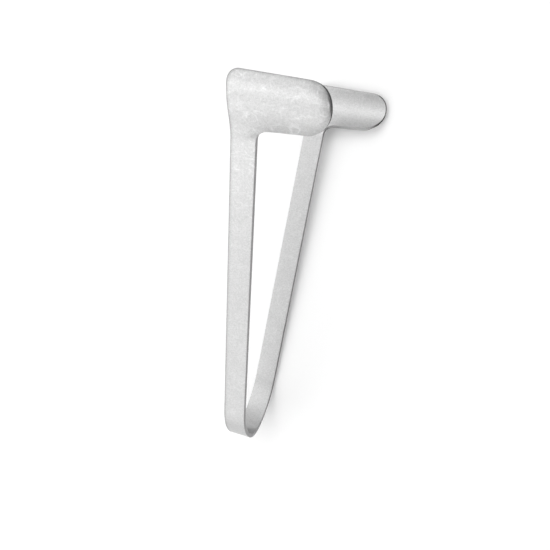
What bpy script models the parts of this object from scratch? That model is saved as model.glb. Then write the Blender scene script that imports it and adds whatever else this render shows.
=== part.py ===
"""Nasal speculum: one strip of spring steel with a scooped blade at each end.

The strip is bent round a nose and two shoulders into a narrow spring. Near each end the
blank widens sideways into a tongue, and the tongue is pressed into a blade: arched from
edge to edge, rounded off round its tip, and flowing at its root into the flat arm.
The speculum lies on its side, as it rests on a table: +X is the way the blades point,
+Y runs from the nose to the blades, and +Z is up. One arm is modelled and mirrored.
"""
import math

import bmesh
import bpy
from mathutils import Vector

# Strip
STRIP_WIDTH = 0.0050
SHEET_THICKNESS = 0.0010
EDGE_RADIUS = 0.00016

# Spring, measured along the middle of the sheet
NOSE_RADIUS = 0.0070
NOSE_HALF_ANGLE = math.radians(28.0)
SHOULDER_RADIUS = 0.0145
ARM_SPLAY = math.radians(12.1)
ARM_LENGTH = 0.0659

# Blade outline, in the flat blank
BLADE_LENGTH = 0.01900
BLADE_HEIGHT = 0.01078
LOWER_EDGE_RISE = 0.00124
UPPER_EDGE_FALL = 0.00052
TIP_LENGTH = 0.0041
TIP_FULLNESS = 2.3
CORNER_RADIUS = 0.0022
FILLET_RADIUS = 0.0023

# Blade pressing: rises over the flat strip, at the root and what they gain by the tip
LOWER_RIM_RISE = -0.00063
LOWER_RIM_GAIN = 0.00130
UPPER_RIM_RISE = 0.00188
UPPER_RIM_GAIN = 0.00076
ARCH_ANGLE = math.radians(30.0)
FLOW_LENGTH = 0.0025
FLOW_MARGIN = 0.0020

# Tip rim, rounded off on the outer face
RIM_ROUND = 0.0012
RIM_THICKNESS = 0.00055
RIM_GROWTH = 0.0022

# Fineness of the facets
BEND_STEP = math.radians(4.0)
STRAIGHT_ROWS = 8
FLOW_ROWS = 4
FILLET_ROWS = 5
CORNER_COLUMNS = 3
ROOT_COLUMNS = 5
STRAIGHT_COLUMNS = 4
FLAT_STEPS = 6
RIM_STEPS = (0.45, 0.80, 1.0)
HALF_ROWS = FLAT_STEPS + len(RIM_STEPS)
TIP_SECTORS = 18

NOSE_RUN = NOSE_RADIUS * NOSE_HALF_ANGLE
SHOULDER_ANGLE = math.pi / 2 - ARM_SPLAY - NOSE_HALF_ANGLE
SHOULDER_RUN = SHOULDER_RADIUS * SHOULDER_ANGLE
BEND_RUN = NOSE_RUN + SHOULDER_RUN
FOOT = BEND_RUN + ARM_LENGTH
FLOW_START = FOOT - FLOW_LENGTH
STRAIGHT_END = BLADE_LENGTH - TIP_LENGTH


def smooth(t):
    """Ease from 0 to 1 with a level start and end."""
    t = min(max(t, 0.0), 1.0)
    return t * t * (3.0 - 2.0 * t)


def spread(start, end, steps):
    """Evenly spaced values after start, up to end."""
    return [start + (end - start) * i / steps for i in range(1, steps + 1)]


def lower_edge(x):
    """Place of the blade's lower edge along the strip."""
    return FOOT + LOWER_EDGE_RISE * x / BLADE_LENGTH


def upper_edge(x):
    """Place of the blade's upper edge along the strip."""
    return FOOT + BLADE_HEIGHT - UPPER_EDGE_FALL * x / BLADE_LENGTH


def middle(x):
    """Place of the blade's middle line along the strip."""
    return (lower_edge(x) + upper_edge(x)) / 2


def half_height(x):
    """Half of the blade's height."""
    return (upper_edge(x) - lower_edge(x)) / 2


def rims(x):
    """Rise of the lower and the upper rim over the flat strip."""
    share = x / BLADE_LENGTH
    return (LOWER_RIM_RISE + LOWER_RIM_GAIN * share, UPPER_RIM_RISE + UPPER_RIM_GAIN * share)


def lean(x):
    """Slope of the line from the lower to the upper rim."""
    low, high = rims(x)
    return (high - low) / (2.0 * half_height(x))


def fullness(v):
    """Power of the round tip's outline: an ellipse below, a little squarer above."""
    return TIP_FULLNESS if v > 0.0 else 2.0


def scoop(x, along):
    """Rise of the free blade: an arch of a circle that rests on the two rims."""
    half = half_height(x)
    v = min(max((along - middle(x)) / half, -1.0), 1.0)
    low, high = rims(x)
    cosine = math.cos(ARCH_ANGLE)
    arch = math.sqrt(1.0 - (v * math.sin(ARCH_ANGLE)) ** 2) - cosine
    return ((low + high) / 2 + (high - low) / 2 * v
            + half * arch / math.sin(ARCH_ANGLE))


def below_foot(x, along):
    """Rise under the lower edge's line, from the rim's slope down to the flat arm."""
    length = lower_edge(x) - FLOW_START
    t = min(max((along - FLOW_START) / length, 0.0), 1.0)
    rim = scoop(x, lower_edge(x))
    slope = math.tan(ARCH_ANGLE) + lean(x)
    return rim * t * t * (3.0 - 2.0 * t) + slope * length * t * t * (t - 1.0)


def root(x, along):
    """Rise at the blade's root, where the lower half of the arch runs out into the arm."""
    crown_line = middle(x) + half_height(x) * math.sin(math.atan(lean(x))) / math.sin(ARCH_ANGLE)
    if along >= crown_line:
        return scoop(x, along)
    t = min((crown_line - along) / (crown_line - FLOW_START), 1.0)
    return scoop(x, crown_line) * (0.5 + 0.5 * math.cos(math.pi * t))


def rise(x, along):
    """Height of the pressed sheet over the flat strip."""
    if along <= FLOW_START:
        return 0.0
    free = scoop(x, along) if along >= lower_edge(x) else below_foot(x, along)
    start = STRIP_WIDTH - FLOW_MARGIN
    end = STRIP_WIDTH + FILLET_RADIUS + FLOW_MARGIN
    share = smooth((x - start) / (end - start))
    return root(x, along) * (1.0 - share) + free * share


def bend(along):
    """Point and outward normal of the bent centre line, from the nose to the arm's end."""
    turn = min(along, NOSE_RUN) / NOSE_RADIUS
    y = NOSE_RADIUS * (1.0 - math.cos(turn))
    z = NOSE_RADIUS * math.sin(turn)
    if along > NOSE_RUN:
        start = turn
        turn = start + (min(along, BEND_RUN) - NOSE_RUN) / SHOULDER_RADIUS
        y += SHOULDER_RADIUS * (math.cos(start) - math.cos(turn))
        z += SHOULDER_RADIUS * (math.sin(turn) - math.sin(start))
    straight = max(along - BEND_RUN, 0.0)
    y += straight * math.sin(turn)
    z += straight * math.cos(turn)
    return Vector((0.0, y, z)), Vector((0.0, -math.cos(turn), math.sin(turn)))


def place(x, along):
    """A point of the blank after pressing and bending."""
    point, outward = bend(along)
    return point + outward * rise(x, along) + Vector((x, 0.0, 0.0))


def fillet():
    """Centre height, end slope and end point of the fillet in the blade's inner corner."""
    slope = math.atan2(LOWER_EDGE_RISE, BLADE_LENGTH)
    centre = lower_edge(STRIP_WIDTH + FILLET_RADIUS) - FILLET_RADIUS / math.cos(slope)
    end = STRIP_WIDTH + FILLET_RADIUS * (1.0 - math.sin(slope))
    return centre, slope, end


def columns():
    """Places across the blade: close at the corner, then the root, then the free blade."""
    end = fillet()[2]
    xs = [0.0] + spread(0.0, CORNER_RADIUS, CORNER_COLUMNS)
    xs += spread(CORNER_RADIUS, end, ROOT_COLUMNS)
    return xs, spread(end, STRAIGHT_END, STRAIGHT_COLUMNS)


def arm_rows(shares):
    """Rows of the flat arm, then rows that widen through the fillet to the blade's foot."""
    centre, slope, _ = fillet()
    nose_rows = math.ceil(NOSE_HALF_ANGLE / BEND_STEP)
    shoulder_rows = math.ceil(SHOULDER_ANGLE / BEND_STEP)
    flow = min(FLOW_START, centre - FLOW_LENGTH / 4)
    stops = [0.0] + spread(0.0, NOSE_RUN, nose_rows)
    stops += spread(NOSE_RUN, BEND_RUN, shoulder_rows)
    stops += spread(BEND_RUN, flow - FLOW_LENGTH, STRAIGHT_ROWS)
    stops += spread(flow - FLOW_LENGTH, centre, FLOW_ROWS)
    rows = [[(share * STRIP_WIDTH, along) for share in shares] for along in stops]
    for angle in spread(0.0, math.pi / 2 - slope, FILLET_ROWS):
        right = STRIP_WIDTH + FILLET_RADIUS * (1.0 - math.cos(angle))
        top = centre + FILLET_RADIUS * math.sin(angle)
        left = centre + (FOOT - centre) * (top - centre) / (lower_edge(right) - centre)
        rows.append([(share * right, left + (top - left) * share) for share in shares])
    return rows


def shares_out():
    """Places from the blade's middle line to its edge as shares, closer over the round rim."""
    rim = RIM_ROUND / half_height(STRAIGHT_END)
    return spread(0.0, 1.0 - rim, FLAT_STEPS) + [1.0 - rim * (1.0 - u) for u in RIM_STEPS]


def gauge(x, v):
    """Share of the full thickness at v of the way from the middle line to the edge."""
    u = max(1.0 - (1.0 - abs(v)) * half_height(min(x, STRAIGHT_END)) / RIM_ROUND, 0.0)
    cut = (1.0 - RIM_THICKNESS / SHEET_THICKNESS) * smooth((x - STRAIGHT_END) / RIM_GROWTH)
    return 1.0 - cut * u ** 3


def round_corner(x, along):
    """Draw the blank's outer corner in to a quarter circle."""
    across = (CORNER_RADIUS - x) / CORNER_RADIUS
    up = (along - upper_edge(x) + CORNER_RADIUS) / CORNER_RADIUS
    if across <= 0.0 or up <= 0.0:
        return x, along
    x = CORNER_RADIUS * (1.0 - across * math.sqrt(1.0 - up * up / 2))
    along += CORNER_RADIUS * up * (math.sqrt(1.0 - across * across / 2) - 1.0)
    return x, along


def blade_rows(xs):
    """Rows of the blade from its lower to its upper edge, up to the start of the tip."""
    out = shares_out()
    rows = []
    for v in [-share for share in reversed(out)] + [0.0] + out:
        row = []
        for x in xs:
            row.append((*round_corner(x, middle(x) + v * half_height(x)), gauge(x, v)))
        rows.append(row)
    return rows


def tip_rings():
    """Nested half ellipses round the end of the middle line, widest last."""
    rings = []
    for share in shares_out():
        ring = []
        for m in range(1, TIP_SECTORS):
            angle = math.pi * m / TIP_SECTORS - math.pi / 2
            power = 2.0 / fullness(angle)
            x = STRAIGHT_END + TIP_LENGTH * share * math.cos(angle) ** power
            out = math.copysign(abs(math.sin(angle)) ** power, angle)
            along = middle(x) + half_height(x) * share * out
            ring.append((x, along, gauge(x, math.copysign(share, angle))))
        rings.append(ring)
    return rings


def skin(bm, rows):
    """Fill the cells between neighbouring rows of vertices."""
    for low, high in zip(rows, rows[1:]):
        for i in range(len(low) - 1):
            bm.faces.new((low[i], low[i + 1], high[i + 1], high[i]))


def to_inner_face(bm):
    """Turn the faces outwards and move the middle surface in by half the thickness."""
    bmesh.ops.recalc_face_normals(bm, faces=bm.faces)
    bm.faces.ensure_lookup_table()
    if bm.faces[-1].normal.z < 0.0:
        bmesh.ops.reverse_faces(bm, faces=bm.faces)
    bm.normal_update()
    for vertex in bm.verts:
        inner = vertex.co - vertex.normal * SHEET_THICKNESS / 2
        vertex.co = (inner.x, inner.y, inner.z if vertex.co.z > 0.0 else 0.0)


def half_sheet():
    """Inner face of one arm and its blade, from the nose to the blade's edge."""
    bm = bmesh.new()
    weights = bm.verts.layers.deform.verify()
    root_xs, free_xs = columns()
    shares = [x / root_xs[-1] for x in root_xs]

    def vertices(points):
        made = []
        for x, along, *share in points:
            vertex = bm.verts.new(place(x, along))
            vertex[weights][0] = share[0] if share else 1.0
            made.append(vertex)
        return made

    arm = [vertices(row) for row in arm_rows(shares)]
    foot = arm[-1] + vertices([(x, lower_edge(x), gauge(x, -1.0)) for x in free_xs])
    blade = [foot] + [vertices(row) for row in blade_rows(root_xs + free_xs)[1:]]
    skin(bm, arm)
    skin(bm, blade)
    tip = []
    for k, ring in enumerate(tip_rings(), 1):
        below = blade[HALF_ROWS - k][-1]
        above = blade[HALF_ROWS + k][-1]
        tip.append([below] + vertices(ring) + [above])
    pole = blade[HALF_ROWS][-1]
    for a, b in zip(tip[0], tip[0][1:]):
        bm.faces.new((pole, a, b))
    skin(bm, [list(reversed(ring)) for ring in tip])
    to_inner_face(bm)
    return bm


def steel():
    """Satin stainless steel."""
    material = bpy.data.materials.new("satin_steel")
    material.use_nodes = True
    shader = material.node_tree.nodes["Principled BSDF"]
    shader.inputs["Base Color"].default_value = (0.63, 0.63, 0.62, 1.0)
    shader.inputs["Metallic"].default_value = 1.0
    shader.inputs["Roughness"].default_value = 0.34
    return material


def speculum():
    """The whole spring: one arm mirrored, given its thickness and softened edges."""
    mesh = bpy.data.meshes.new("speculum")
    bm = half_sheet()
    bm.to_mesh(mesh)
    bm.free()
    mesh.materials.append(steel())
    body = bpy.data.objects.new("speculum", mesh)
    body.vertex_groups.new(name="gauge")
    bpy.context.collection.objects.link(body)
    mirror = body.modifiers.new("second_arm", "MIRROR")
    mirror.use_axis = (False, False, True)
    mirror.merge_threshold = 0.00001
    sheet = body.modifiers.new("sheet", "SOLIDIFY")
    sheet.thickness = SHEET_THICKNESS
    sheet.offset = 1.0
    sheet.vertex_group = "gauge"
    sheet.use_even_offset = True
    edges = body.modifiers.new("soft_edges", "BEVEL")
    edges.width = EDGE_RADIUS
    edges.segments = 2
    edges.limit_method = "ANGLE"
    edges.angle_limit = math.radians(50.0)
    return body


def solid_points(body):
    """Corners of the finished solid, before it is laid down."""
    bpy.context.view_layer.update()
    finished = body.evaluated_get(bpy.context.evaluated_depsgraph_get())
    return [vertex.co.copy() for vertex in finished.data.vertices]


def lay_down(body):
    """Tip the spring until its lower bend and lower blade touch one level, and centre it."""
    points = solid_points(body)
    split = max(p.y for p in points) / 2
    tilt = 0.0
    for _ in range(12):
        low = []
        for part in ([p for p in points if p.y < split], [p for p in points if p.y >= split]):
            turned = [(p.z * math.cos(tilt) + p.y * math.sin(tilt),
                       p.y * math.cos(tilt) - p.z * math.sin(tilt)) for p in part]
            low.append(min(turned))
        tilt += math.atan2(low[0][0] - low[1][0], low[1][1] - low[0][1])
    ys = [p.y * math.cos(tilt) - p.z * math.sin(tilt) for p in points]
    xs = [p.x for p in points]
    body.rotation_euler = (tilt, 0.0, 0.0)
    body.location = (-(min(xs) + max(xs)) / 2, -(min(ys) + max(ys)) / 2, -low[0][0])


def main():
    """Clear the scene and build the speculum."""
    for old in list(bpy.data.objects):
        bpy.data.objects.remove(old, do_unlink=True)
    body = speculum()
    lay_down(body)
    body.data.shade_smooth()
    body.data.set_sharp_from_angle(angle=math.radians(50.0))


main()
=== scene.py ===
"""Looks for the nasal speculum: satin spring steel on a white table, seen from above.

The visible surface is drawn finer than the solid, from the same sizes and the same rules.
"""
import math

import bmesh
import bpy
from mathutils import Matrix, Vector


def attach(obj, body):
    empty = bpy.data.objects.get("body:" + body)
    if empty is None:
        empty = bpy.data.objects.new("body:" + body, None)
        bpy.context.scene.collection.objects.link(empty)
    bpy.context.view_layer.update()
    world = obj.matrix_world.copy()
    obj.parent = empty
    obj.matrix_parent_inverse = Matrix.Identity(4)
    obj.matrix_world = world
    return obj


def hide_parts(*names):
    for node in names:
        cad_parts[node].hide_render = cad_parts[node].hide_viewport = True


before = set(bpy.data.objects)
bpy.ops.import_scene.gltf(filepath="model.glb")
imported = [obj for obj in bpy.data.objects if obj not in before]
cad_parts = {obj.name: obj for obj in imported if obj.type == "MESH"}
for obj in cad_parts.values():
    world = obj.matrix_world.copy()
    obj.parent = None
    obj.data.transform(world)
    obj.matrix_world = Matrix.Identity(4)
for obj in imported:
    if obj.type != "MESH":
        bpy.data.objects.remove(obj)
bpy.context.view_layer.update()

# Steel: tone and roughness from cloud to cloud, and the band of a noise that they span
STEEL_TONES = (0.475, 0.505)
STEEL_ROUGHNESS = (0.34, 0.42)
NOISE_BAND = (0.3, 0.7)

# Noises on it: scale and detail of each, then what grain and specks add to or take from the tone
CLOUDS = (420.0, 3.0)
GRAIN = (2400.0, 3.0)
SPECKS = (5200.0, 2.0)
GRAIN_TONE = 0.035
SPECK_TONE = 0.05

# Relief of grain and pits
GRAIN_RELIEF = 0.5
BUMP_STRENGTH = 0.25
BUMP_DEPTH = 0.00002

# Fine scratches: turn in degrees, scale across and scale along in each set
SCRATCHES = ((8.0, 420.0, 210.0), (-32.0, 500.0, 260.0))
SCRATCH_DETAIL = 1.5
SCRATCH_WIDTH = 0.03

# Where they show: in the denser clouds, and most above these heights over the table
SCRATCHED_CLOUDS = (0.45, 0.62)
SCRATCHED_HEIGHTS = (0.043, 0.047)
SCRATCH_TONES = (0.02, 0.1)

# Pits: cells to the metre, radius in a cell, random value from which a cell holds one
PIT_SCALE = 190.0
PIT_SIZES = (0.03, 0.09)
PIT_CHOICE = (0.66, 0.68)
PIT_TONE = 0.04

# Cut edge, with the painted shade and painted dark reflections marked with it: share of the tone
# lost and roughness at a mark of 1, and the mark that the cut edge has all round, partly duller
# steel and partly painted shade
EDGE_AND_SHADE_LOSS = 0.38
EDGE_ROUGHNESS = 0.55
EDGE_MARK = 0.45

# Painted dark reflection on the cut edge's faces that look along X: from this share of their normal
# on, they rise to a mark of 1
SHADED_SIDE_FROM = 0.3
SHADED_SIDE_SOFTNESS = 0.4

# Painted dark reflection on the rims round the tips: marked where the sheet has lost this share of
# its thickness
RIM_DARK_REFLECTION = 2.3
RIM_REFLECTION_FROM = {"outer": 0.36, "inner": 0.29}
RIM_REFLECTION_SOFTNESS = 0.08

# The painted dark reflection starts on the tip's lower side, at this turn in degrees from straight
# ahead
RIM_REFLECTION_START = -80.0
RIM_REFLECTION_SPAN = 40.0

# Painted shade in a band along the strip's outer side and the blade's upper edge
ARRIS_SHADE = 1.2
ARRIS_SHADE_WIDTH = 0.0007

# Light: bearing from +X towards +Y and height over the table in degrees, half width, strength
LAMPS = (
    ("overhead", 0, 70, 12, 0.95),
    ("back", 90, 48, 14, 0.9),
    ("side_front", 210, 48, 14, 0.5),
    ("front", 240, 48, 14, 1.6),
    ("front_right", 300, 48, 14, 2.3),
    ("low_right_back", 36, 15, 19, 2.4),
    ("low_back", 108, 15, 19, 0.7),
    ("low_side", 216, 15, 19, 2.6),
    ("low_front", 252, 15, 19, 1.5),
    ("low_front_right", 288, 15, 19, 0.75),
)
LAMP_DISTANCE = 1.0

# Soft patches of the room: bearing, height, strength; then how fast they fade from their middle
PATCHES = (
    (120, 52, 1.4),
    (180, 52, 1.5),
    (240, 52, 0.3),
)
PATCH_SHARPNESS = 7.0

# White table, and the glow on it that only the camera and glossy rays see
FLOOR_SIZE = 3.0
FLOOR_DROP = 0.00002
FLOOR_TONE = 0.93
FLOOR_ROUGHNESS = 0.8
FLOOR_LIFT = 0.06

# Camera: lens in millimetres on a sensor of this width, place and axes
LENS = 39.5543
SENSOR_WIDTH = 36.0
CLIP = (0.005, 20.0)
CAMERA_PLACE = (0.0337202, 0.0033656, 0.1531323)
CAMERA_RIGHT = (0.937544, 0.204526, -0.281390)
CAMERA_UP = (-0.211400, 0.977381, 0.006053)
CAMERA_BACK = (0.276264, 0.053811, 0.959574)

# Strip
STRIP_WIDTH = 0.0050
SHEET_THICKNESS = 0.0010
EDGE_RADIUS = 0.00016

# Spring, measured along the middle of the sheet
NOSE_RADIUS = 0.0070
NOSE_HALF_ANGLE = math.radians(28.0)
SHOULDER_RADIUS = 0.0145
ARM_SPLAY = math.radians(12.1)
ARM_LENGTH = 0.0659

# Blade outline, in the flat blank
BLADE_LENGTH = 0.01900
BLADE_HEIGHT = 0.01078
LOWER_EDGE_RISE = 0.00124
UPPER_EDGE_FALL = 0.00052
TIP_LENGTH = 0.0041
TIP_FULLNESS = 2.3
CORNER_RADIUS = 0.0022
FILLET_RADIUS = 0.0023

# Blade pressing: rises over the flat strip, at the root and what they gain by the tip
LOWER_RIM_RISE = -0.00063
LOWER_RIM_GAIN = 0.00130
UPPER_RIM_RISE = 0.00188
UPPER_RIM_GAIN = 0.00076
ARCH_ANGLE = math.radians(30.0)
FLOW_LENGTH = 0.0025
FLOW_MARGIN = 0.0020

# Tip rim, rounded off on the outer face after a slight fall that only the eye can see
RIM_ROUND = 0.0009
RIM_THICKNESS = 0.00052
RIM_FALL = 0.28
RIM_FALL_WIDTH = 0.0022
RIM_GROWTH = 0.0022

# Fineness of the visible surface, before it is subdivided once
BEND_STEP = math.radians(3.0)
STRAIGHT_ROWS = 24
FLOW_ROWS = 6
FILLET_ROWS = 9
CORNER_COLUMNS = 4
ROOT_COLUMNS = 8
STRAIGHT_COLUMNS = 9
FLAT_STEPS = 9
RIM_STEPS = (0.30, 0.55, 0.78, 1.0)
HALF_ROWS = FLAT_STEPS + len(RIM_STEPS)
TIP_SECTORS = 30
MERGE_DISTANCE = 0.00001
ARRIS_ANGLE = math.radians(50.0)
SHARP_ANGLE = math.radians(60.0)
TIPPING_STEPS = 12

NOSE_RUN = NOSE_RADIUS * NOSE_HALF_ANGLE
SHOULDER_ANGLE = math.pi / 2 - ARM_SPLAY - NOSE_HALF_ANGLE
SHOULDER_RUN = SHOULDER_RADIUS * SHOULDER_ANGLE
BEND_RUN = NOSE_RUN + SHOULDER_RUN
FOOT = BEND_RUN + ARM_LENGTH
FLOW_START = FOOT - FLOW_LENGTH
STRAIGHT_END = BLADE_LENGTH - TIP_LENGTH


def smooth(t):
    """Ease from 0 to 1 with a level start and end."""
    t = min(max(t, 0.0), 1.0)
    return t * t * (3.0 - 2.0 * t)


def spread(start, end, steps):
    """Evenly spaced values after start, up to end."""
    return [start + (end - start) * i / steps for i in range(1, steps + 1)]


def lower_edge(x):
    """Place of the blade's lower edge along the strip."""
    return FOOT + LOWER_EDGE_RISE * x / BLADE_LENGTH


def upper_edge(x):
    """Place of the blade's upper edge along the strip."""
    return FOOT + BLADE_HEIGHT - UPPER_EDGE_FALL * x / BLADE_LENGTH


def middle(x):
    """Place of the blade's middle line along the strip."""
    return (lower_edge(x) + upper_edge(x)) / 2


def half_height(x):
    """Half of the blade's height."""
    return (upper_edge(x) - lower_edge(x)) / 2


def rims(x):
    """Rise of the lower and the upper rim over the flat strip."""
    share = x / BLADE_LENGTH
    return (LOWER_RIM_RISE + LOWER_RIM_GAIN * share, UPPER_RIM_RISE + UPPER_RIM_GAIN * share)


def lean(x):
    """Slope of the line from the lower to the upper rim."""
    low, high = rims(x)
    return (high - low) / (2.0 * half_height(x))


def fullness(v):
    """Power of the round tip's outline: an ellipse below, a little squarer above."""
    return TIP_FULLNESS if v > 0.0 else 2.0


def scoop(x, along):
    """Rise of the free blade: an arch of a circle that rests on the two rims."""
    half = half_height(x)
    v = min(max((along - middle(x)) / half, -1.0), 1.0)
    low, high = rims(x)
    cosine = math.cos(ARCH_ANGLE)
    arch = math.sqrt(1.0 - (v * math.sin(ARCH_ANGLE)) ** 2) - cosine
    return ((low + high) / 2 + (high - low) / 2 * v
            + half * arch / math.sin(ARCH_ANGLE))


def below_foot(x, along):
    """Rise under the lower edge's line, from the rim's slope down to the flat arm."""
    length = lower_edge(x) - FLOW_START
    t = min(max((along - FLOW_START) / length, 0.0), 1.0)
    rim = scoop(x, lower_edge(x))
    slope = math.tan(ARCH_ANGLE) + lean(x)
    return rim * t * t * (3.0 - 2.0 * t) + slope * length * t * t * (t - 1.0)


def root(x, along):
    """Rise at the blade's root, where the lower half of the arch runs out into the arm."""
    crown_line = middle(x) + half_height(x) * math.sin(math.atan(lean(x))) / math.sin(ARCH_ANGLE)
    if along >= crown_line:
        return scoop(x, along)
    t = min((crown_line - along) / (crown_line - FLOW_START), 1.0)
    return scoop(x, crown_line) * (0.5 + 0.5 * math.cos(math.pi * t))


def rise(x, along):
    """Height of the pressed sheet over the flat strip."""
    if along <= FLOW_START:
        return 0.0
    free = scoop(x, along) if along >= lower_edge(x) else below_foot(x, along)
    start = STRIP_WIDTH - FLOW_MARGIN
    end = STRIP_WIDTH + FILLET_RADIUS + FLOW_MARGIN
    share = smooth((x - start) / (end - start))
    return root(x, along) * (1.0 - share) + free * share


def bend(along):
    """Point and outward normal of the bent centre line, from the nose to the arm's end."""
    turn = min(along, NOSE_RUN) / NOSE_RADIUS
    y = NOSE_RADIUS * (1.0 - math.cos(turn))
    z = NOSE_RADIUS * math.sin(turn)
    if along > NOSE_RUN:
        start = turn
        turn = start + (min(along, BEND_RUN) - NOSE_RUN) / SHOULDER_RADIUS
        y += SHOULDER_RADIUS * (math.cos(start) - math.cos(turn))
        z += SHOULDER_RADIUS * (math.sin(turn) - math.sin(start))
    straight = max(along - BEND_RUN, 0.0)
    y += straight * math.sin(turn)
    z += straight * math.cos(turn)
    return Vector((0.0, y, z)), Vector((0.0, -math.cos(turn), math.sin(turn)))


def place(x, along):
    """A point of the blank after pressing and bending."""
    point, outward = bend(along)
    return point + outward * rise(x, along) + Vector((x, 0.0, 0.0))


def fillet():
    """Centre height, end slope and end point of the fillet in the blade's inner corner."""
    slope = math.atan2(LOWER_EDGE_RISE, BLADE_LENGTH)
    centre = lower_edge(STRIP_WIDTH + FILLET_RADIUS) - FILLET_RADIUS / math.cos(slope)
    end = STRIP_WIDTH + FILLET_RADIUS * (1.0 - math.sin(slope))
    return centre, slope, end


def columns():
    """Places across the blade: close at the corner, then the root, then the free blade."""
    end = fillet()[2]
    xs = [0.0] + spread(0.0, CORNER_RADIUS, CORNER_COLUMNS)
    xs += spread(CORNER_RADIUS, end, ROOT_COLUMNS)
    return xs, spread(end, STRAIGHT_END, STRAIGHT_COLUMNS)


def arm_rows(shares):
    """Rows of the flat arm, then rows that widen through the fillet to the blade's foot."""
    centre, slope, _ = fillet()
    nose_rows = math.ceil(NOSE_HALF_ANGLE / BEND_STEP)
    shoulder_rows = math.ceil(SHOULDER_ANGLE / BEND_STEP)
    flow = min(FLOW_START, centre - FLOW_LENGTH / 4)
    stops = [0.0] + spread(0.0, NOSE_RUN, nose_rows)
    stops += spread(NOSE_RUN, BEND_RUN, shoulder_rows)
    stops += spread(BEND_RUN, flow - FLOW_LENGTH, STRAIGHT_ROWS)
    stops += spread(flow - FLOW_LENGTH, centre, FLOW_ROWS)
    rows = [[(share * STRIP_WIDTH, along) for share in shares] for along in stops]
    for angle in spread(0.0, math.pi / 2 - slope, FILLET_ROWS):
        right = STRIP_WIDTH + FILLET_RADIUS * (1.0 - math.cos(angle))
        top = centre + FILLET_RADIUS * math.sin(angle)
        left = centre + (FOOT - centre) * (top - centre) / (lower_edge(right) - centre)
        rows.append([(share * right, left + (top - left) * share) for share in shares])
    return rows


def shares_out():
    """Places from the blade's middle line to its edge as shares, closer over the round rim."""
    rim = RIM_ROUND / half_height(STRAIGHT_END)
    return spread(0.0, 1.0 - rim, FLAT_STEPS) + [1.0 - rim * (1.0 - u) for u in RIM_STEPS]


def gauge(x, v):
    """Share of the full thickness at v of the way from the middle line to the edge."""
    deep = (1.0 - abs(v)) * half_height(min(x, STRAIGHT_END))
    fall = RIM_FALL * max(1.0 - deep / RIM_FALL_WIDTH, 0.0) ** 2
    cut = 1.0 - RIM_THICKNESS / SHEET_THICKNESS - RIM_FALL
    rounding = cut * max(1.0 - deep / RIM_ROUND, 0.0) ** 3
    return 1.0 - (fall + rounding) * smooth((x - STRAIGHT_END) / RIM_GROWTH)


def round_corner(x, along):
    """Draw the blank's outer corner in to a quarter circle."""
    across = (CORNER_RADIUS - x) / CORNER_RADIUS
    up = (along - upper_edge(x) + CORNER_RADIUS) / CORNER_RADIUS
    if across <= 0.0 or up <= 0.0:
        return x, along
    x = CORNER_RADIUS * (1.0 - across * math.sqrt(1.0 - up * up / 2))
    along += CORNER_RADIUS * up * (math.sqrt(1.0 - across * across / 2) - 1.0)
    return x, along


def blade_rows(xs):
    """Rows of the blade from its lower to its upper edge, up to the start of the tip."""
    out = shares_out()
    rows = []
    for v in [-share for share in reversed(out)] + [0.0] + out:
        row = []
        for x in xs:
            row.append((*round_corner(x, middle(x) + v * half_height(x)), gauge(x, v)))
        rows.append(row)
    return rows


def tip_rings():
    """Nested half ellipses round the end of the middle line, widest last."""
    rings = []
    for share in shares_out():
        ring = []
        for m in range(1, TIP_SECTORS):
            angle = math.pi * m / TIP_SECTORS - math.pi / 2
            power = 2.0 / fullness(angle)
            x = STRAIGHT_END + TIP_LENGTH * share * math.cos(angle) ** power
            out = math.copysign(abs(math.sin(angle)) ** power, angle)
            along = middle(x) + half_height(x) * share * out
            ring.append((x, along, gauge(x, math.copysign(share, angle))))
        rings.append(ring)
    return rings


def skin(bm, rows):
    """Fill the cells between neighbouring rows of vertices."""
    for low, high in zip(rows, rows[1:]):
        for i in range(len(low) - 1):
            bm.faces.new((low[i], low[i + 1], high[i + 1], high[i]))


def to_inner_face(bm):
    """Turn the faces outwards and move the middle surface in by half the thickness."""
    bmesh.ops.recalc_face_normals(bm, faces=bm.faces)
    bm.faces.ensure_lookup_table()
    if bm.faces[-1].normal.z < 0.0:
        bmesh.ops.reverse_faces(bm, faces=bm.faces)
    bm.normal_update()
    for vertex in bm.verts:
        inner = vertex.co - vertex.normal * SHEET_THICKNESS / 2
        vertex.co = (inner.x, inner.y, inner.z if vertex.co.z > 0.0 else 0.0)


def inset(x, along):
    """Distance in the blank from the strip's outer side and the blade's upper edge."""
    across, down = CORNER_RADIUS - x, upper_edge(x) - along
    if across > 0.0 and down < CORNER_RADIUS:
        return CORNER_RADIUS - math.hypot(across, CORNER_RADIUS - down)
    return min(x, down)


def dark_rim_share(x, along):
    """Share of the painted dark reflection on the rim: 1 over the round tip's front and upper side,
    falling to 0 round its lower side.
    """
    ahead = max(x - STRAIGHT_END, 0.0) / TIP_LENGTH
    turn = math.atan2((along - middle(x)) / half_height(x), ahead)
    return smooth((math.degrees(turn) - RIM_REFLECTION_START) / RIM_REFLECTION_SPAN)


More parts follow.
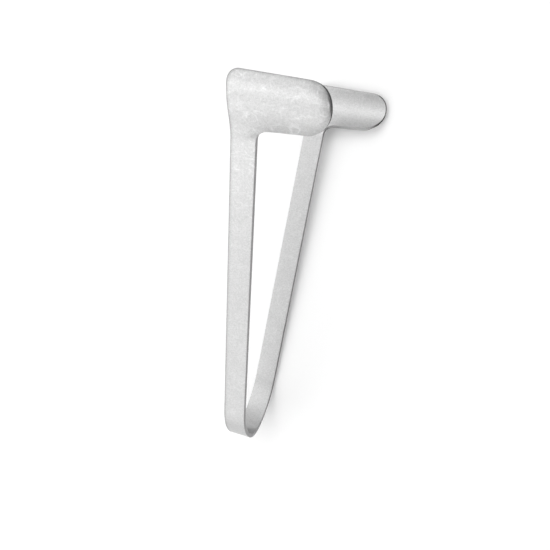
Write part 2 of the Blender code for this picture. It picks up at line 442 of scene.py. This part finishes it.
def half_sheet():
    """Inner face of one arm and its blade, from the nose to the blade's edge."""
    bm = bmesh.new()
    weights = bm.verts.layers.deform.verify()
    root_xs, free_xs = columns()
    shares = [x / root_xs[-1] for x in root_xs]

    def vertices(points):
        made = []
        for x, along, *thickness in points:
            vertex = bm.verts.new(place(x, along))
            vertex[weights][0] = thickness[0] if thickness else 1.0
            vertex[weights][1] = max(1.0 - inset(x, along) / ARRIS_SHADE_WIDTH, 0.0)
            vertex[weights][2] = dark_rim_share(x, along)
            made.append(vertex)
        return made

    arm = [vertices(row) for row in arm_rows(shares)]
    foot = arm[-1] + vertices([(x, lower_edge(x), gauge(x, -1.0)) for x in free_xs])
    blade = [foot] + [vertices(row) for row in blade_rows(root_xs + free_xs)[1:]]
    skin(bm, arm)
    skin(bm, blade)
    tip = []
    for k, ring in enumerate(tip_rings(), 1):
        below = blade[HALF_ROWS - k][-1]
        above = blade[HALF_ROWS + k][-1]
        tip.append([below] + vertices(ring) + [above])
    pole = blade[HALF_ROWS][-1]
    for a, b in zip(tip[0], tip[0][1:]):
        bm.faces.new((pole, a, b))
    skin(bm, [list(reversed(ring)) for ring in tip])
    to_inner_face(bm)
    return bm


def add_modifiers(piece):
    """Mirror the arm, give the sheet its thickness, round its arrises and smooth it once."""
    mirror = piece.modifiers.new("second_arm", "MIRROR")
    mirror.use_axis = (False, False, True)
    mirror.merge_threshold = MERGE_DISTANCE
    sheet = piece.modifiers.new("sheet", "SOLIDIFY")
    sheet.thickness = SHEET_THICKNESS
    sheet.offset = 1.0
    sheet.vertex_group = "gauge"
    sheet.use_even_offset = True
    sheet.material_offset_rim = 1
    edges = piece.modifiers.new("soft_edges", "BEVEL")
    edges.width = EDGE_RADIUS
    edges.segments = 2
    edges.limit_method = "ANGLE"
    edges.angle_limit = ARRIS_ANGLE
    edges.material = 1
    finer = piece.modifiers.new("finer", "SUBSURF")
    finer.levels = 1
    finer.render_levels = 1


def surface(material):
    """The whole spring as one fine mesh, laid down where the solid lies."""
    mesh = bpy.data.meshes.new("speculum_surface")
    bm = half_sheet()
    bm.to_mesh(mesh)
    bm.free()
    mesh.materials.append(material)
    mesh.materials.append(material)
    piece = bpy.data.objects.new("speculum_surface", mesh)
    for group in ("gauge", "arris", "tip"):
        piece.vertex_groups.new(name=group)
    bpy.context.collection.objects.link(piece)
    add_modifiers(piece)
    bpy.context.view_layer.update()
    done = bpy.data.meshes.new_from_object(
        piece.evaluated_get(bpy.context.evaluated_depsgraph_get()))
    piece.modifiers.clear()
    piece.data = done
    mark_edge_and_painted_shade(done)
    lay_down(piece)
    done.shade_smooth()
    done.set_sharp_from_angle(angle=SHARP_ANGLE)
    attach(piece, "root")
    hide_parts("speculum")


def weights_of(mesh, group):
    """Each face's mean weight in a vertex group, where a vertex that isn't in it counts as 0."""
    weights = [sum(entry.weight for entry in vertex.groups if entry.group == group)
               for vertex in mesh.vertices]
    return [sum(weights[i] for i in face.vertices) / len(face.vertices)
            for face in mesh.polygons]


def mark_edge_and_painted_shade(mesh):
    """Mark the cut edge for the material, partly duller steel and partly painted shade, with painted
    shade along the outer arris and painted dark reflections round the tips and on faces that look
    along X.
    """
    marks = []
    gauges, arrises, dark_rim_weights = (weights_of(mesh, group) for group in range(3))
    for face, gauge_left, near, tip in zip(mesh.polygons, gauges, arrises, dark_rim_weights):
        outer = face.normal.z * math.copysign(1.0, face.center.z) > face.normal.y
        start = RIM_REFLECTION_FROM["outer" if outer else "inner"]
        # Painted dark reflection round the tips' rims, where the thinned sheet turns away
        mark = RIM_DARK_REFLECTION * tip * smooth((1.0 - gauge_left - start) / RIM_REFLECTION_SOFTNESS)
        # Painted shade in a band along the outer arris, on the outer faces
        if outer:
            mark = max(mark, ARRIS_SHADE * near * near)
        # Cut-edge faces: a duller edge all round that is partly painted shade, and a painted dark
        # reflection where they look along X
        if face.material_index:
            side = smooth((abs(face.normal.x) - SHADED_SIDE_FROM) / SHADED_SIDE_SOFTNESS)
            mark = max(mark, EDGE_MARK + (1.0 - EDGE_MARK) * side)
        marks.append(mark)
    mesh.attributes.new("edge_and_painted_shade", "FLOAT", "FACE").data.foreach_set("value", marks)
    mesh.polygons.foreach_set("material_index", [0] * len(mesh.polygons))
    mesh.materials.pop()


def lay_down(piece):
    """Tip the spring until its lower bend and lower blade touch one level, and centre it."""
    points = [vertex.co.copy() for vertex in piece.data.vertices]
    split = max(p.y for p in points) / 2
    tilt = 0.0
    for _ in range(TIPPING_STEPS):
        low = []
        for part in ([p for p in points if p.y < split], [p for p in points if p.y >= split]):
            turned = [(p.z * math.cos(tilt) + p.y * math.sin(tilt),
                       p.y * math.cos(tilt) - p.z * math.sin(tilt)) for p in part]
            low.append(min(turned))
        tilt += math.atan2(low[0][0] - low[1][0], low[1][1] - low[0][1])
    ys = [p.y * math.cos(tilt) - p.z * math.sin(tilt) for p in points]
    xs = [p.x for p in points]
    shift = Vector((-(min(xs) + max(xs)) / 2, -(min(ys) + max(ys)) / 2, -low[0][0]))
    piece.data.transform(Matrix.Translation(shift) @ Matrix.Rotation(tilt, 4, "X"))


def node(tree, kind, **values):
    """Add a shader node and set its plain properties."""
    made = tree.nodes.new(kind)
    for key, value in values.items():
        setattr(made, key, value)
    return made


def noise(tree, place, scale, detail):
    """Fine noise over the piece."""
    made = node(tree, "ShaderNodeTexNoise")
    made.inputs["Scale"].default_value = scale
    made.inputs["Detail"].default_value = detail
    tree.links.new(place, made.inputs["Vector"])
    return made.outputs["Fac"]


def ranged(tree, value, start, end, low, high):
    """Map a value from one range to another, held at both ends."""
    made = node(tree, "ShaderNodeMapRange")
    made.inputs["From Min"].default_value = start
    made.inputs["From Max"].default_value = end
    made.inputs["To Min"].default_value = low
    made.inputs["To Max"].default_value = high
    tree.links.new(value, made.inputs["Value"])
    return made.outputs["Result"]


def maths(tree, operation, *values):
    """Join one or two values, each a socket or a number."""
    made = node(tree, "ShaderNodeMath", operation=operation)
    for socket, value in zip(made.inputs, values):
        if isinstance(value, (int, float)):
            socket.default_value = value
        else:
            tree.links.new(value, socket)
    return made.outputs[0]


def hairlines(tree, place, turn, spread_across, spread_along):
    """Thin lines, 1 where a stretched noise passes its middle value."""
    turned = node(tree, "ShaderNodeMapping")
    turned.inputs["Rotation"].default_value = (0.0, 0.0, math.radians(turn))
    turned.inputs["Scale"].default_value = (spread_along, spread_across, spread_along)
    tree.links.new(place, turned.inputs["Vector"])
    field = noise(tree, turned.outputs["Vector"], 1.0, SCRATCH_DETAIL)
    off = maths(tree, "ABSOLUTE", maths(tree, "SUBTRACT", field, 0.5))
    return ranged(tree, off, 0.0, SCRATCH_WIDTH, 1.0, 0.0)


def pits(tree, place):
    """A few small dark pits over the whole piece."""
    cells = node(tree, "ShaderNodeTexVoronoi")
    cells.inputs["Scale"].default_value = PIT_SCALE
    tree.links.new(place, cells.inputs["Vector"])
    near = ranged(tree, cells.outputs["Distance"], *PIT_SIZES, 1.0, 0.0)
    chosen = ranged(tree, cells.outputs["Color"], *PIT_CHOICE, 0.0, 1.0)
    return maths(tree, "MULTIPLY", near, chosen)


def scratches(tree, place, cloud):
    """What the scratches add to the tone: little but on the upper blade, and more in some clouds."""
    lines = maths(tree, "MAXIMUM", *(hairlines(tree, place, *kind) for kind in SCRATCHES))
    worn = maths(tree, "MULTIPLY", lines, ranged(tree, cloud, *SCRATCHED_CLOUDS, 0.0, 1.0))
    height = node(tree, "ShaderNodeSeparateXYZ")
    tree.links.new(place, height.inputs["Vector"])
    handled = ranged(tree, height.outputs["Z"], *SCRATCHED_HEIGHTS, *SCRATCH_TONES)
    return maths(tree, "MULTIPLY", worn, handled)


def steel_tone(tree, place, cloud, grain, pitted):
    """Tone of the bare steel: cloudy and grainy, lighter at scratches and darker in pits."""
    tone = ranged(tree, cloud, *NOISE_BAND, *STEEL_TONES)
    for field, spread in ((grain, GRAIN_TONE), (noise(tree, place, *SPECKS), SPECK_TONE)):
        tone = maths(tree, "ADD", tone, ranged(tree, field, *NOISE_BAND, -spread, spread))
    tone = maths(tree, "ADD", tone, scratches(tree, place, cloud))
    return maths(tree, "SUBTRACT", tone, maths(tree, "MULTIPLY", pitted, PIT_TONE))


def steel_relief(tree, grain, pitted):
    """Normals of the grain and the pits."""
    relief = maths(tree, "SUBTRACT", maths(tree, "MULTIPLY", grain, GRAIN_RELIEF), pitted)
    bump = node(tree, "ShaderNodeBump")
    bump.inputs["Strength"].default_value = BUMP_STRENGTH
    bump.inputs["Distance"].default_value = BUMP_DEPTH
    tree.links.new(relief, bump.inputs["Height"])
    return bump.outputs["Normal"]


def steel():
    """Satin stainless steel: mottled, with light handling marks, a duller cut edge, and painted
    shade and painted dark reflections at the arrises, sides and rims.
    """
    material = bpy.data.materials.new("satin_steel")
    material.use_nodes = True
    tree = material.node_tree
    shader = tree.nodes["Principled BSDF"]
    shader.inputs["Metallic"].default_value = 1.0
    place = node(tree, "ShaderNodeTexCoord").outputs["Object"]
    cloud = noise(tree, place, *CLOUDS)
    grain = noise(tree, place, *GRAIN)
    pitted = pits(tree, place)
    edge = node(tree, "ShaderNodeAttribute", attribute_name="edge_and_painted_shade").outputs["Fac"]

    # The mark darkens the tone: a duller cut edge that is partly painted shade, with painted shade
    # and painted dark reflections
    kept = maths(tree, "SUBTRACT", 1.0, maths(tree, "MULTIPLY", edge, EDGE_AND_SHADE_LOSS))
    tone = maths(tree, "MULTIPLY", steel_tone(tree, place, cloud, grain, pitted), kept)
    grey = node(tree, "ShaderNodeCombineColor")
    for name in ("Red", "Green", "Blue"):
        tree.links.new(tone, grey.inputs[name])
    tree.links.new(grey.outputs["Color"], shader.inputs["Base Color"])

    marked_roughness = maths(tree, "MULTIPLY", maths(tree, "MINIMUM", edge, 1.0), EDGE_ROUGHNESS)
    rough = maths(tree, "MAXIMUM", ranged(tree, cloud, *NOISE_BAND, *STEEL_ROUGHNESS), marked_roughness)
    tree.links.new(rough, shader.inputs["Roughness"])
    tree.links.new(steel_relief(tree, grain, pitted), shader.inputs["Normal"])
    return material


def floor_material():
    """White table top: it takes shadows, and a faint glow carries its lit part to white."""
    material = bpy.data.materials.new("white_table")
    material.use_nodes = True
    tree = material.node_tree
    shader = tree.nodes["Principled BSDF"]
    shader.inputs["Base Color"].default_value = (FLOOR_TONE, FLOOR_TONE, FLOOR_TONE, 1.0)
    shader.inputs["Roughness"].default_value = FLOOR_ROUGHNESS
    shader.inputs["Specular IOR Level"].default_value = 0.0
    path = node(tree, "ShaderNodeLightPath")
    seen = maths(tree, "ADD", path.outputs["Is Camera Ray"], path.outputs["Is Glossy Ray"])
    glow = node(tree, "ShaderNodeEmission")
    tree.links.new(maths(tree, "MULTIPLY", seen, FLOOR_LIFT), glow.inputs["Strength"])
    both = node(tree, "ShaderNodeAddShader")
    tree.links.new(shader.outputs[0], both.inputs[0])
    tree.links.new(glow.outputs[0], both.inputs[1])
    tree.links.new(both.outputs[0], tree.nodes["Material Output"].inputs["Surface"])
    return material


def floor():
    """The table under the speculum."""
    bpy.ops.mesh.primitive_plane_add(size=FLOOR_SIZE, location=(0.0, 0.0, -FLOOR_DROP))
    made = bpy.context.object
    made.name = "table"
    made.data.materials.append(floor_material())


def bearing_vector(bearing, height):
    """Unit vector towards a bearing and a height over the table, in degrees."""
    turn, rise = math.radians(bearing), math.radians(height)
    return Vector((math.cos(turn) * math.cos(rise), math.sin(turn) * math.cos(rise), math.sin(rise)))


def room():
    """A dim room with soft bright patches at the back and the side, dark towards the tips."""
    world = bpy.data.worlds.new("room")
    bpy.context.scene.world = world
    world.use_nodes = True
    tree = world.node_tree
    back = tree.nodes["Background"]
    back.inputs["Color"].default_value = (1.0, 1.0, 1.0, 1.0)
    way = node(tree, "ShaderNodeTexCoord").outputs["Generated"]
    total = 0.0
    for bearing, height, strength in PATCHES:
        side = node(tree, "ShaderNodeVectorMath", operation="DOT_PRODUCT")
        side.inputs[1].default_value = bearing_vector(bearing, height)
        tree.links.new(way, side.inputs[0])
        near = maths(tree, "SUBTRACT", side.outputs["Value"], 1.0)
        near = maths(tree, "MULTIPLY", near, PATCH_SHARPNESS)
        patch = maths(tree, "MULTIPLY", maths(tree, "EXPONENT", near), strength)
        total = maths(tree, "ADD", patch, total)
    tree.links.new(total, back.inputs["Strength"])


def lamps():
    """Round softboxes on one sphere round the speculum; strength 1 lights like a white sky."""
    for name, bearing, height, half_width, strength in LAMPS:
        lamp = bpy.data.lights.new(name, "AREA")
        lamp.shape = "DISK"
        radius = LAMP_DISTANCE * math.tan(math.radians(half_width))
        lamp.size = 2.0 * radius
        lamp.energy = strength * math.pi * math.pi * radius ** 2
        made = bpy.data.objects.new(name, lamp)
        bpy.context.collection.objects.link(made)
        way = bearing_vector(bearing, height)
        made.location = way * LAMP_DISTANCE
        made.rotation_euler = way.to_track_quat("Z", "Y").to_euler()
        made.visible_camera = False


def camera():
    """The photograph's view: close above the blades' side, looking almost straight down."""
    data = bpy.data.cameras.new("camera")
    data.lens = LENS
    data.sensor_width = SENSOR_WIDTH
    data.clip_start, data.clip_end = CLIP
    made = bpy.data.objects.new("camera", data)
    bpy.context.collection.objects.link(made)
    turn = Matrix((CAMERA_RIGHT, CAMERA_UP, CAMERA_BACK)).transposed().to_4x4()
    made.matrix_world = Matrix.Translation(CAMERA_PLACE) @ turn
    bpy.context.scene.camera = made


surface(steel())
floor()
room()
lamps()
camera()
bpy.context.scene.view_settings.view_transform = "Standard"
